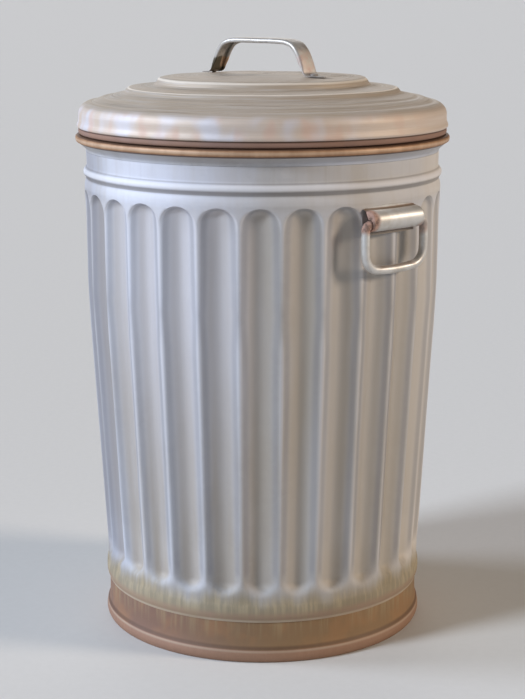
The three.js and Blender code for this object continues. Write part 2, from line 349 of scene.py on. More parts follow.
def body_line():
    """Outer face of the body: the lip over the base band, the wall and the neck with its bead."""
    low, high = ARCH_ZONE
    heights = np.concatenate([
        np.linspace(SKIRT_TOP, 104, 11),
        np.linspace(112, low, 30),
        low + (FLUTE_APEX - low) * (1 - (1 - np.linspace(0.12, 1, 13)) ** 1.6),
        [545.2, 546.8, high],
    ])
    table_radius, table_height = np.array(WALL_LINE).T
    wall = list(zip(np.interp(heights, table_height, table_radius), heights))
    lip = smooth([(196.9, 50.0), (197.7, 52.6), (199.1, 56.5), (199.5, 60), (199.6, 64), (199.2, 69),
                  (197.9, 74)], 1.8)
    neck = smooth([(217.0, 553.2), (215.7, 556.6), (216.5, 559.4), (218.4, 562.3), (219.0, 565.0),
                   (218.2, 567.8), (216.3, 570.2), (215.0, 572.2), (214.9, 576), (215.0, 582),
                   (NECK, BODY_TOP)], 1.6)
    return lip + wall + neck


def can_shell():
    """The fluted wall with its skirt and neck, one sheet."""
    vertices, faces = turned(body_line(), BODY_SHEET, flute_angles(), press_wall)
    return finish_mesh("can_shell", vertices, faces, "can", "galvanized_wall", ["can_body"], sharp=50)


def rim_hoop():
    """Hoop fitted inside the wall's upper edge: the bead that carries the lid, and the rolled rim."""
    fit = NECK - BODY_SHEET - 0.4
    collar = [(fit, HOOP_LOW.z), (fit, 583.5), (fit, 589.7), (fit + 0.3, 590.3)]
    cone = smooth([(NECK, 590.3), (NECK + 0.1, 591.6), (216.0, 593.2), (217.7, 594.9), (220.3, 597.1),
                   (223.2, 599.7), (225.0, 601.0)], 1.4)
    bead = smooth([(225.5, 601.2), (227.2, 602.2), (HOOP_HIGH.x, 604.8), (227.5, 607.5), (225.2, 609.5),
                   (222.0, 609.9), (218.4, 609.9), (216.2, 610.4), (NECK, 612.5)], 1.7)
    curl = arc((NECK - RIM_ROLL, HOOP_HIGH.z - RIM_ROLL), (RIM_ROLL, RIM_ROLL), 0, 292, 11)
    line = collar + cone + bead + [(NECK, 617), (NECK, 621)] + curl
    vertices, faces = turned(line, BODY_SHEET, round_angles(252), press_hoop)
    return finish_mesh("rim_bead", vertices, faces, "can", "rim_steel", ["rim_hoop"], sharp=50)


def press_hoop(angle, radius, height):
    """The bead runs a little uneven."""
    on_bead = np.clip((height - 594) / 6, 0, 1) * np.clip((610 - height) / 3, 0, 1)
    return radius, height + ripple(angle, height * 0, 0.25, seed=12) * on_bead


def wire_ring(name, node, centre, wire, body):
    """The wire inside a rolled edge. centre is its middle in (radius, height)."""
    angles = round_angles(168)
    section = arc(centre, (wire, wire), 0, 360, 12)[:-1]
    grid = np.array([[(r * math.cos(a), r * math.sin(a), h) for r, h in section] for a in angles])
    rows, columns = grid.shape[:2]
    faces = []
    for i in range(rows):
        for j in range(columns):
            n, k = (i + 1) % rows, (j + 1) % columns
            faces.append((i * columns + j, n * columns + j, n * columns + k, i * columns + k))
    return finish_mesh(name, grid.reshape(-1, 3), faces, body, "steel_wire", [node])


# ---- Base ---------------------------------------------------------------------------------

def press_band(angle, radius, height):
    """The band is a little out of round above its foot."""
    return radius + ripple(angle, height * 3, 0.18, seed=9) * np.clip(height / 20, 0, 1), height


def band_shell():
    """The base band, from its rolled foot up. The roll is flattened on the floor."""
    curl = arc(FOOT_CENTRE, (5.0, 8.0), 150, 372, 20)
    curl = [(r, max(h, 0.0)) for r, h in curl]
    crease = smooth([(199.3, 15.4), (197.9, 17.6), (196.9, 21.5), (196.2, 28), (196.0, 36)], 2.5)
    wall = [(196.0, h) for h in np.linspace(42, BAND_TOP, 5)]
    vertices, faces = turned(curl + crease + wall, BAND_SHEET, round_angles(252), press_band)
    return finish_mesh("band_shell", vertices, faces, "can", "rusted_band", ["base_band"], sharp=28)


def pan_shell():
    """The can's floor, raised a little in the middle, with an upturned flange."""
    edge = PAN_HIGH.x - 0.1
    floor = PAN_LOW.z
    line = [(0, floor + 2.5)] + [(r, floor + 2.5) for r in np.linspace(12, 108, 9)]
    line += smooth([(114, floor + 2.4), (118, floor + 1.6), (122, floor + 0.4), (127, floor)], 2)
    line += [(r, floor) for r in np.linspace(135, edge - 9, 5)]
    line += arc((edge - 6, floor + 6), (6, 6), -90, 0, 6)
    line += [(edge, h) for h in np.linspace(floor + 9, PAN_HIGH.z, 4)]
    vertices, faces = turned(line, BODY_SHEET, round_angles(126))
    return finish_mesh("pan_shell", vertices, faces, "can", "galvanized_pan", ["bottom_pan"])


# ---- Lid ------------------------------------------------------------------------------------

def press_lid(angle, radius, height):
    """The lid's top is a little uneven and its skirt a little out of round."""
    on_top = np.clip((height - 640) / 14, 0, 1)
    lift = ripple(angle, radius * 4, 0.4, seed=21) * on_top
    skirt = np.clip((height - 620) / 6, 0, 1) * (1 - on_top)
    return radius + ripple(angle, height, 0.25, seed=5) * skirt, height + lift


def lid_line():
    """Outer face of the lid, from the curled edge up the skirt and two steps to the axis."""
    curl = arc(LID_CURL_CENTRE, (3.5, 3.5), 115, 372, 15)
    hem = smooth([(224.1, 615.4), (223.9, 616.6), (223.7, 617.8)], 1.0)
    skirt = smooth([(224.3, 618.1), (225.6, 619.3), (225.9, 621.1), (225.0, 623.4), (223.9, 626.0),
                    (223.7, 630), (223.7, 635), (222.9, 638.4), (221.2, 641.8), (218.4, 645.0),
                    (215.6, 646.9), (212.4, 648.3), (209.2, 648.7)], 1.8)
    rings = smooth([(206.5, 648.6), (203.6, 650.0), (200, 651.8), (195.5, 653.4), (191.5, 653.9),
                    (188.6, 653.6), (186.4, 654.3), (184, 655.6), (178, 656.8), (172.5, 657.9)], 1.9)
    steps = smooth([(169.4, 658.9), (167.3, 660.4), (165.9, 662.5), (164.3, 664.2), (161.4, 665.2),
                    (156, 665.8), (148, 666.2), (138, 666.8), (132.6, 667.5), (130.4, 668.8),
                    (128.9, 671.4), (127.2, 674.3), (124.5, 676.4), (120, 677.4), (112, 677.8)], 1.9)
    plate = smooth([(104, 678.1), (82, 679.0), (60, 679.9), (36, 680.6), (14, LID_TOP)], 7)
    return curl + hem + skirt + rings + steps + plate + [(0, LID_TOP)]


def lid_shell():
    vertices, faces = turned(lid_line(), BODY_SHEET, round_angles(280), press_lid)
    return finish_mesh("lid_dome", vertices, faces, "lid", "galvanized_lid", ["lid_shell"], sharp=50)


# ---- Lid handle -------------------------------------------------------------------------

def strap_section():
    """Outer face of the strap across its width, from one rolled edge over the crown to the other."""
    rolled, rounded = 1.9, (3.6, 3.4)
    right = arc((STRAP_HALF_WIDTH - rolled, -3.9), (rolled, rolled), 140, 360, 8)
    shoulder = arc((STRAP_HALF_WIDTH - rounded[0], -3.2), rounded, 6, 90, 6)
    crown = [(4.2, 0.5), (0.0, 0.65)]
    side = right + shoulder + crown
    return np.array(side + [(-x, y) for x, y in side[-2::-1]])


def foot_height(reach):
    """Height of the upper face of the strap's feet, which follow the lid's coned plate."""
    return STRAP_LOW.z + STRAP_SHEET + STRAP_FALL * (STRAP_TIP - reach)


def strap_path():
    """Middle of the strap's crown, from one foot's tip to the other, in (reach, height)."""
    rises = ((STRAP_TIP, 0), (93, 0.1), (86, 0.2), (80.5, 0.7))
    foot = [(-reach, foot_height(reach) + rise) for reach, rise in rises]
    low, top = foot_height(75), STRAP_HIGH.z - 0.9
    half = foot + [(-77.2, low + 3.4), (-75.6, low + 9), (-72.0, low + 18.5), (-66.0, low + 29.0),
                   (-58.6, low + 36.6), (-50.0, top - 2.0), (-41.5, top - 0.5), (-22, top), (0, top)]
    return np.array(smooth(half + [(-x, z) for x, z in half[-2::-1]], 2.4))


def lid_strap():
    """The strap handle. Its section narrows to each tip and flattens into the feet."""
    path = strap_path()
    along = np.gradient(path, axis=0)
    along /= np.linalg.norm(along, axis=1, keepdims=True)
    normal = np.stack([-along[:, 1], along[:, 0]], axis=1)
    section = strap_section()
    reach = np.abs(path[:, 0])
    from_tip = np.clip((STRAP_TIP - reach) / 22.0, 0, 1)
    width = np.sqrt(1 - (1 - from_tip) ** 2.0) * 0.94 + 0.06
    low_part = np.clip((path[:, 1] - path[0, 1] - 1.0) / 16.0, 0, 1)
    depth = 0.12 + 0.88 * low_part**0.8
    turn = math.radians(STRAP_ANGLE)
    grids = []
    for face in (section, moved_left(section, STRAP_SHEET)):
        across = face[None, :, 0] * width[:, None]
        out = face[None, :, 1] * depth[:, None]
        along_x = path[:, 0, None] + normal[:, 0, None] * out
        up = path[:, 1, None] + normal[:, 1, None] * out
        x = along_x * math.cos(turn) - across * math.sin(turn)
        y = along_x * math.sin(turn) + across * math.cos(turn)
        grids.append(np.stack([x, y, up], axis=2))
    vertices, faces = sheet_mesh(*grids, closed=False)
    return finish_mesh("lid_strap", vertices, faces, "lid", "handle_steel", ["lid_handle"],
                       finish="lid_strap")


def lid_rivet(side):
    """A round-headed rivet through a foot of the strap, set on the lid."""
    node = f"lid_rivet_{side}"
    low, high = cad(node)
    centre = (low + high) / 2
    seat = foot_height(centre.xy.length) + 0.3
    tail = [(0, low.z), (3.2, low.z), (3.9, low.z + 0.5), (3.9, low.z + 1.2), (2.4, low.z + 1.5)]
    head = arc((0, seat + 0.3), (4.8, 2.6), 0, 88, 7) + [(0, seat + 2.9)]
    line = tail + [(2.4, seat), (4.6, seat)] + head
    angles = np.linspace(0, 2 * math.pi, 28, endpoint=False)
    vertices = [(centre.x + r * math.cos(a), centre.y + r * math.sin(a), h) for a in angles for r, h in line]
    numbers = np.arange(len(vertices)).reshape(len(angles), len(line))
    following = np.roll(numbers, -1, axis=0)
    faces = []
    for row, next_row in zip(numbers.tolist(), following.tolist()):
        faces += [(row[j], next_row[j], next_row[j + 1], row[j + 1]) for j in range(len(line) - 1)]
    return finish_mesh(f"rivet_{side}", vertices, faces, "lid", "handle_steel", [node],
                       finish="lid_strap")


# ---- Drop handles -------------------------------------------------------------------------

def handle_rod(side, turn, body):
    """The bent rod, its ends butted inside the sleeve. turn is 1 on +X and -1 on -X."""
    low, high = cad(f"handle_loop_{side}")
    half_width = high.y - ROD
    drop = PIVOT.z - low.z - ROD - ROD_BOW
    half = [(1.0, 0.0), (22.0, 0.0)]
    half += arc((half_width - TOP_BEND, -TOP_BEND), (TOP_BEND, TOP_BEND), 90, 0, 7)
    half += [(half_width + 0.2, -22.0)]
    half += arc((half_width - BOTTOM_BEND, BOTTOM_BEND - drop), (BOTTOM_BEND, BOTTOM_BEND), 0, -90, 9)
    half += [(16.0, -drop - 0.7 * ROD_BOW), (0.0, -drop - ROD_BOW)]
    line = smooth(half + [(-y, z) for y, z in half[-2::-1]], 2.5)
    path = [(PIVOT.x * turn, y * turn, PIVOT.z + z) for y, z in line]
    vertices, faces = tube(path, (1.0 * turn, 0, 0), ROD)
    return finish_mesh(f"drop_rod_{side}", vertices, faces, body, "handle_steel",
                       [f"handle_loop_{side}"])


def clip_line():
    """Outer face of the sleeve and its flanges in (outward, height)."""
    centre = (CLIP_HIGH.x - SLEEVE_RADIUS, (CLIP_LOW.z + CLIP_HIGH.z) / 2)
    top, low = centre[1] + SLEEVE_RADIUS, centre[1] - SLEEVE_RADIUS
    start, corner = CLIP_FACE + 1.2, CLIP_FACE + 0.35
    lower = smooth([(CLIP_FACE, CLIP_LOW.z), (CLIP_FACE, low - 1.6), (corner, low - 0.5), (start, low)], 0.8)
    upper = smooth([(start, top), (corner, top + 0.5), (CLIP_FACE, top + 1.6),
                    (CLIP_FACE, CLIP_HIGH.z)], 0.8)
    return lower + arc(centre, (SLEEVE_RADIUS, SLEEVE_RADIUS), -88, 88, 22) + upper


def handle_clip(side, turn):
    """Half-round sleeve over the rod, with flanges that follow the wall. The upper one is arched.

    The sleeve's ends are hammered in to a round mouth about the rod.
    """
    half_length = CLIP_HIGH.y
    centre_radius = CLIP_HIGH.x - SLEEVE_RADIUS
    centre_height = (CLIP_LOW.z + CLIP_HIGH.z) / 2
    inset, drawn = np.array([(2.6, 0.0), (1.4, 0.03), (0.5, 0.12), (0.0, 0.26), (0.0, 0.6), (0.0, 1.0)]).T
    middle = np.linspace(3.0 - half_length, half_length - 3.0, 35)
    share = np.concatenate([drawn[::-1], np.zeros(len(middle)), drawn])
    line = np.array(clip_line())
    grids = []
    for face, set_back in ((line, 0.0), (moved_left(line, CLIP_SHEET), CLIP_SHEET)):
        end_y = half_length - set_back - inset * (1 - set_back / 2)
        across = np.concatenate([-end_y[::-1], middle, end_y])
        y, out = np.meshgrid(across, face[:, 0], indexing="ij")
        height = np.broadcast_to(face[:, 1], out.shape)
        on_flange = np.clip((np.abs(height - centre_height) - 11.5) / 1.6, 0, 1)
        x = out - (out - np.sqrt(out**2 - y**2)) * on_flange
        arch = 1 - (np.abs(y) / half_length) ** 2.4
        above_sleeve = np.clip(height - centre_height - SLEEVE_RADIUS, 0, None)
        z = height - above_sleeve * (1 - arch) * 0.72
        on_sleeve = (np.abs(height - centre_height) <= SLEEVE_RADIUS) & (out > centre_radius - 0.3)
        pull = np.where(on_sleeve, share[:, None], 0.0)
        from_rod = np.hypot(x - PIVOT.x, z - PIVOT.z)
        x = x + pull * (x - PIVOT.x) * (MOUTH_RADIUS / from_rod - 1)
        z = z + pull * (z - PIVOT.z) * (MOUTH_RADIUS / from_rod - 1)
        grids.append(np.stack([x * turn, y * turn, z], axis=2))
    vertices, faces = sheet_mesh(*grids, closed=False)
    return finish_mesh(f"clip_{side}", vertices, faces, "can", "handle_steel", [f"handle_clip_{side}"])


# ---- Materials ----------------------------------------------------------------------------

class Shade:
    """A material being built. Lengths are metres in the piece's own, unposed position.

    Its shares run from 0 to 1 and say how much of something there is at a place.
    """

    def __init__(self, name):
        self.material = bpy.data.materials.new(name)
        self.material.use_nodes = True
        self.tree = self.material.node_tree
        self.place = self.node("ShaderNodeTexCoord").outputs["Object"]
        axes = self.node("ShaderNodeSeparateXYZ", {0: self.place}).outputs
        self.x, self.y, self.height = axes[0], axes[1], axes[2]
        self.radius = self.calc("SQRT", self.calc("ADD", self.calc("MULTIPLY", self.x, self.x),
                                                  self.calc("MULTIPLY", self.y, self.y)))
        self.angle = self.calc("ARCTAN2", self.y, self.x)

    def node(self, kind, inputs=None, **settings):
        """A new node. Each input is a plain value or another node's output."""
        made = self.tree.nodes.new(kind)
        for key, value in settings.items():
            setattr(made, key, value)
        for key, value in (inputs or {}).items():
            if isinstance(value, bpy.types.NodeSocket):
                self.tree.links.new(value, made.inputs[key])
            else:
                made.inputs[key].default_value = value
        return made

    def calc(self, operation, first, second=0.0):
        return self.node("ShaderNodeMath", {0: first, 1: second}, operation=operation).outputs[0]

    def both(self, *shares):
        """The product of several shares from 0 to 1."""
        total = shares[0]
        for share in shares[1:]:
            total = self.calc("MULTIPLY", total, share)
        return total

    def either(self, *shares):
        """The highest of several shares from 0 to 1."""
        highest = shares[0]
        for share in shares[1:]:
            highest = self.calc("MAXIMUM", highest, share)
        return highest

    def fade(self, value, off, on):
        """0 where the value is at off, changing smoothly to 1 where it is at on."""
        inputs = {"Value": value, "From Min": off, "From Max": on}
        return self.node("ShaderNodeMapRange", inputs, interpolation_type="SMOOTHSTEP").outputs["Result"]

    def between(self, value, rise, fall):
        """1 where both of two fades of a value are 1. Each is given as its off and on values."""
        return self.both(self.fade(value, *rise), self.fade(value, *fall))

    def noise(self, scale, seed, stretch=(1.0, 1.0, 1.0), detail=3.0, source=None):
        """Cloudy noise with features of about 1 / scale metres, drawn out along an axis by stretch."""
        sizes = tuple(scale / s for s in stretch)
        moved = self.node("ShaderNodeVectorMath", {0: source or self.place, 1: sizes}, operation="MULTIPLY")
        inputs = {"Vector": moved.outputs[0], "W": seed, "Scale": 1.0, "Detail": detail, "Roughness": 0.6}
        return self.node("ShaderNodeTexNoise", inputs, noise_dimensions="4D").outputs[0]

    def rings(self, scale, seed):
        """Fine lines that run round the axis, a little broken along their length."""
        around = self.calc("MULTIPLY", self.angle, 0.004)
        source = self.node("ShaderNodeCombineXYZ", {0: self.radius, 1: around, 2: self.height}).outputs[0]
        return self.noise(scale, seed, detail=2.0, source=source)

    def grains(self, scale):
        """A different level from 0 to 1 in each crystal of the zinc."""
        cells = self.node("ShaderNodeTexVoronoi", {"Vector": self.place, "Scale": scale, "Randomness": 1.0})
        return self.node("ShaderNodeSeparateColor", {0: cells.outputs["Color"]}).outputs[0]

    def facing(self, direction, near, far):
        """1 in a direction round the axis out to near degrees from it, 0 from far degrees on."""
        turned_x = self.calc("MULTIPLY", self.x, math.cos(math.radians(direction)))
        turned_y = self.calc("MULTIPLY", self.y, math.sin(math.radians(direction)))
        cosine = self.calc("DIVIDE", self.calc("ADD", turned_x, turned_y), self.radius)
        return self.fade(cosine, math.cos(math.radians(far)), math.cos(math.radians(near)))

    def near(self, point, inside, outside):
        """1 within a distance of a point, 0 beyond another distance."""
        distance = self.node("ShaderNodeVectorMath", {0: self.place, 1: point}, operation="DISTANCE")
        return self.fade(distance.outputs["Value"], outside, inside)

    def mix(self, share, first, second):
        """A colour mixed from two."""
        def whole(value):
            return (*value, 1.0) if isinstance(value, tuple) else value
        inputs = {0: share, 6: whole(first), 7: whole(second)}
        return self.node("ShaderNodeMix", inputs, data_type="RGBA").outputs[2]

    def level(self, share, first, second):
        """A number mixed from two."""
        return self.node("ShaderNodeMix", {0: share, 2: first, 3: second}, data_type="FLOAT").outputs[0]

    def done(self, colour, roughness, metal, relief, depth):
        """Joins colour, roughness, metal share and a relief of the given depth in metres."""
        bump = self.node("ShaderNodeBump", {"Strength": 1.0, "Distance": depth, "Height": relief})
        surface = self.tree.nodes["Principled BSDF"]
        for key, value in (("Base Color", colour), ("Roughness", roughness), ("Metallic", metal),
                           ("Normal", bump.outputs[0])):
            if isinstance(value, bpy.types.NodeSocket):
                self.tree.links.new(value, surface.inputs[key])
            else:
                surface.inputs[key].default_value = value
        return self.material


# Linear colours, (red, green, blue)
COOL_ZINC = (0.49, 0.505, 0.56)
PALE_ZINC = (0.60, 0.60, 0.60)
DULL_ZINC = (0.36, 0.345, 0.345)
# The next four colours are painted light and shade on the wall's sides
WARM_REFLECTION = (0.50, 0.455, 0.39)
COOL_LIGHT_ZINC = (0.68, 0.69, 0.78)
WARM_HIGHLIGHT = (0.70, 0.64, 0.57)
SHADED_ZINC = (0.25, 0.25, 0.29)
# Pale wear with a painted highlight, on the neck bead
BEAD_WEAR_AND_HIGHLIGHT = (0.74, 0.73, 0.75)
# Painted highlight on the flute ridges, then painted shade on the flutes' flanks
RIDGE_HIGHLIGHT = (0.68, 0.67, 0.70)
FLANK_SHADE = (0.22, 0.215, 0.235)
# Painted shade in the creases of the neck bead
CREASE_SHADE = (0.15, 0.135, 0.125)
DUST = (0.37, 0.315, 0.25)
LID_DUST = (0.41, 0.325, 0.235)
LID_GRIME = (0.22, 0.18, 0.14)
OLIVE_DIRT = (0.230, 0.184, 0.105)
GOLDEN_DUST = (0.34, 0.27, 0.155)
PINK_RUST = (0.36, 0.215, 0.165)
ORANGE_RUST = (0.40, 0.20, 0.085)
# Painted shade in creases and under edges
DARK_SHADE = (0.085, 0.042, 0.025)
# Painted highlight on edges
CREAM_HIGHLIGHT = (0.52, 0.45, 0.35)


def zinc(shade, scale):
    """Colour and roughness of weathered galvanizing, with its crystals and clouds."""
    clouds = shade.noise(scale, 1.0, stretch=(1, 1, 3.5))
    colour = shade.mix(shade.fade(clouds, 0.36, 0.70), COOL_ZINC, DULL_ZINC)
    colour = shade.mix(shade.both(shade.grains(130.0), 0.16), colour, PALE_ZINC)
    roughness = shade.level(clouds, 0.38, 0.56)
    return colour, roughness


def wall_dust_and_shade(shade, colour, streaks, broad, recess):
    """Streaks down the wall, and dust in its flutes that is partly painted shade, more where they are
    deeper. recess is the depth below the ridges.
    """
    # Dust and painted shade, more where the flutes are deeper
    in_flute = shade.both(shade.fade(recess, 0.002, 0.008), shade.fade(shade.height, 0.556, 0.530))
    colour = shade.mix(shade.both(shade.fade(streaks, 0.50, 0.72), 0.30), colour, DULL_ZINC)
    colour = shade.mix(shade.both(shade.fade(broad, 0.46, 0.66), 0.40), colour, DUST)
    return shade.mix(shade.both(in_flute, shade.level(broad, 0.45, 0.85)), colour, DUST)


def wall_painted_light(shade, colour):
    """Painted light and shade on the zinc: a warm reflection on the side the warm lamp lights, cool light on
    the side the cool lamps light, shade at the left edge as the camera sees it and a warm highlight at its
    right edge.
    """
    colour = shade.mix(shade.both(shade.facing(16.0, 25.0, 84.0), 0.45), colour, WARM_REFLECTION)
    # Painted cool light where the cool lamps fall
    cool_lit = shade.both(shade.facing(-72.0, 12.0, 34.0), shade.fade(shade.height, 0.10, 0.48))
    colour = shade.mix(shade.both(cool_lit, 0.45), colour, COOL_LIGHT_ZINC)
    # Painted shade at the left edge as the camera sees it, then a painted warm highlight at the right edge
    colour = shade.mix(shade.both(shade.facing(-126.0, 12.0, 30.0), 0.55), colour, SHADED_ZINC)
    return shade.mix(shade.both(shade.facing(38.0, 8.0, 26.0), 0.40), colour, WARM_HIGHLIGHT)


def neck_bead_highlight_and_shade(shade, colour):
    """The bead's crest shows pale wear with a painted highlight, the shoulder under it has a fainter painted
    highlight, and painted shade darkens the bead's underside and the crease above it.
    """
    crest = shade.between(shade.height, (0.5628, 0.5642), (0.5702, 0.5684))
    shoulder = shade.between(shade.height, (0.5445, 0.5480), (0.5572, 0.5552))
    colour = shade.mix(shade.either(shade.both(crest, 0.55), shade.both(shoulder, 0.16)), colour, BEAD_WEAR_AND_HIGHLIGHT)
    # Painted shade under the crest and in the crease above it
    below = shade.between(shade.height, (0.5566, 0.5578), (0.5630, 0.5616))
    above = shade.between(shade.height, (0.5698, 0.5706), (0.5722, 0.5714))
    return shade.mix(shade.either(shade.both(below, 0.55), shade.both(above, 0.35)), colour, CREASE_SHADE)


def flute_painted_shading(shade, colour, streaks, broad, recess):
    """Painted shade on the flutes' flanks and a painted highlight along the ridges between them."""
    flank = shade.both(shade.between(recess, (0.0006, 0.0020), (0.0058, 0.0030)),
                       shade.between(shade.height, (0.556, 0.530), (0.095, 0.115)))
    colour = shade.mix(shade.both(flank, shade.level(broad, 0.20, 0.60)), colour, FLANK_SHADE)
    # Painted highlight along the ridges
    ridge = shade.both(shade.fade(recess, 0.0009, 0.0002),
                       shade.between(shade.height, (0.548, 0.535), (0.085, 0.110)))
    return shade.mix(shade.both(ridge, shade.level(streaks, 0.15, 0.60)), colour, RIDGE_HIGHLIGHT)


def wall_material():
    shade = Shade("wall_finish")
    colour, roughness = zinc(shade, 9.0)
    streaks = shade.noise(160.0, 2.0, stretch=(1, 1, 34))
    broad = shade.noise(34.0, 3.0, stretch=(1, 1, 12))
    ridge_radius = shade.calc("ADD", 0.1930, shade.calc("MULTIPLY", shade.height, 0.0558))
    recess = shade.calc("SUBTRACT", shade.calc("MINIMUM", ridge_radius, 0.2165), shade.radius)
    colour = wall_dust_and_shade(shade, colour, streaks, broad, recess)
    colour = wall_painted_light(shade, colour)
    # Olive dirt with a ragged upper edge, a rusty skirt below it and a painted highlight on the lower edge
    foot_edge = shade.calc("ADD", 0.063, shade.calc("MULTIPLY", broad, 0.038))
    foot = shade.fade(shade.calc("SUBTRACT", shade.height, foot_edge), 0.014, -0.012)
    olive = shade.mix(shade.fade(streaks, 0.40, 0.64), OLIVE_DIRT, GOLDEN_DUST)
    colour = shade.mix(shade.both(foot, 0.86), colour, olive)
    lip = shade.both(shade.fade(shade.height, 0.066, 0.057), shade.level(broad, 0.60, 0.95))
    colour = shade.mix(lip, colour, shade.mix(streaks, PINK_RUST, OLIVE_DIRT))
    # Painted highlight along the lip's lower edge
    edge = shade.both(shade.fade(shade.height, 0.0538, 0.0525), shade.level(broad, 0.10, 0.70))
    colour = shade.mix(edge, colour, CREAM_HIGHLIGHT)
    colour = neck_bead_highlight_and_shade(shade, colour)
    colour = flute_painted_shading(shade, colour, streaks, broad, recess)
    beside_loop = shade.near((0.214, -0.066, 0.505), 0.004, 0.026)
    stain = shade.both(beside_loop, shade.fade(streaks, 0.36, 0.62))
    colour = shade.mix(shade.both(stain, 0.45), colour, PINK_RUST)
    neck = shade.fade(shade.height, 0.540, 0.548)
    dirt = shade.either(shade.both(foot, 0.9), lip, stain)
    low_wall = shade.fade(shade.height, 0.155, 0.110)
    dull = shade.either(dirt, shade.both(low_wall, 0.85), shade.both(neck, 0.80))
    metal = shade.level(shade.either(dirt, shade.both(neck, 0.55)), 0.34, 0.05)
    relief = shade.calc("ADD", shade.noise(420.0, 4.0), shade.both(streaks, 0.8))
    return shade.done(colour, shade.level(dull, roughness, 0.78), metal, relief, 0.00008)


def lid_skirt(shade, colour):
    """Colour of the lid with cool and pink patches on its skirt, and the share of pink."""
    skirt = shade.fade(shade.height, 0.648, 0.640)
    soft_spots = shade.noise(36.0, 7.0, stretch=(1, 1, 1.4), detail=0.5)
    streaks = shade.noise(48.0, 8.0, stretch=(1, 1, 1.8), detail=0.8)
    colour = shade.mix(shade.both(skirt, 0.65), colour, (0.64, 0.53, 0.45))
    cool = shade.both(skirt, shade.fade(soft_spots, 0.42, 0.66), shade.facing(-80.0, 30.0, 95.0))
    colour = shade.mix(shade.both(cool, 0.60), colour, (0.60, 0.62, 0.71))
    pink = shade.both(skirt, shade.fade(streaks, 0.46, 0.70), shade.facing(-60.0, 30.0, 84.0))
    pinks = shade.mix(soft_spots, (0.56, 0.37, 0.32), (0.60, 0.38, 0.24))
    colour = shade.mix(shade.both(pink, 0.62), colour, pinks)
    return colour, streaks, pink


def lid_material():
    shade = Shade("lid_finish")
    colour = zinc(shade, 14.0)[0]
    lines = shade.rings(700.0, 5.0)
    clouds = shade.noise(18.0, 6.0)
    colour = shade.mix(shade.level(clouds, 0.70, 1.0), colour, LID_DUST)
    colour = shade.mix(shade.both(shade.fade(lines, 0.46, 0.70), 0.35), colour, PALE_ZINC)
    brushed = shade.rings(330.0, 25.0)
    colour = shade.mix(shade.both(shade.fade(brushed, 0.50, 0.68), 0.42), colour, LID_GRIME)
    # Painted highlights along the two step edges of the lid's top
    for step_edge in (0.1262, 0.1630):
        off_edge = shade.calc("ABSOLUTE", shade.calc("SUBTRACT", shade.radius, step_edge))
        edge_highlight = shade.both(shade.fade(off_edge, 0.0018, 0.0007), shade.level(clouds, 0.60, 1.00))
        colour = shade.mix(edge_highlight, colour, (0.80, 0.72, 0.62))
    by_foot = shade.near((0.0905, 0.0079, 0.6785), 0.010, 0.022)
    colour = shade.mix(shade.both(by_foot, shade.level(clouds, 0.5, 0.9)), colour, (0.13, 0.095, 0.07))
    colour, streaks, pink = lid_skirt(shade, colour)
    hem = shade.fade(shade.height, 0.6190, 0.6176)
    hem_rust = shade.mix(streaks, (0.18, 0.090, 0.062), (0.27, 0.150, 0.10))
    colour = shade.mix(shade.both(hem, 0.92), colour, hem_rust)
    # Painted shade in the crease above the hem and under the curled edge
    crease = shade.between(shade.height, (0.6164, 0.6174), (0.6190, 0.6182))
    under = shade.fade(shade.height, 0.6122, 0.6108)
    colour = shade.mix(shade.both(shade.either(crease, under), 0.85), colour, DARK_SHADE)
    rust = shade.either(shade.both(pink, 0.5), hem)
    relief = shade.calc("ADD", shade.both(lines, 0.6), shade.noise(300.0, 9.0))
    return shade.done(colour, shade.level(rust, 0.58, 0.72), shade.level(rust, 0.20, 0.05), relief, 0.00008)


def rim_material():
    shade = Shade("rim_finish")
    colour, roughness = zinc(shade, 9.0)
    streaks = shade.noise(60.0, 10.0, stretch=(1, 1, 3))
    fine = shade.noise(500.0, 11.0)
    bead = shade.fade(shade.height, 0.6004, 0.6016)
    tan = shade.mix(shade.fade(streaks, 0.35, 0.65), (0.31, 0.165, 0.085), (0.41, 0.235, 0.13))
    colour = shade.mix(shade.both(shade.fade(shade.height, 0.590, 0.600), 0.35), colour, DUST)
    colour = shade.mix(bead, colour, tan)
    # Painted highlight along the bead's crest
    crest = shade.between(shade.height, (0.6030, 0.6046), (0.6076, 0.6062))
    colour = shade.mix(shade.both(crest, shade.level(streaks, 0.2, 0.6)), colour, (0.66, 0.50, 0.36))
    # Painted shade above the bead, under the lid's edge, and at the bead's lower edge
    above = shade.fade(shade.height, 0.6078, 0.6092)
    below = shade.between(shade.height, (0.5996, 0.6006), (0.6024, 0.6014))
    colour = shade.mix(shade.both(shade.either(above, below), 0.85), colour, DARK_SHADE)
    rough = shade.level(bead, roughness, shade.level(fine, 0.45, 0.65))
    return shade.done(colour, rough, shade.level(bead, 0.34, 0.25), fine, 0.00010)


def pan_material():
    shade = Shade("pan_finish")
    colour = zinc(shade, 12.0)[0]
    grime = shade.noise(22.0, 12.0)
    colour = shade.mix(shade.fade(grime, 0.35, 0.65), colour, OLIVE_DIRT)
    return shade.done(colour, shade.level(grime, 0.4, 0.75), 0.5, shade.noise(350.0, 13.0), 0.00012)


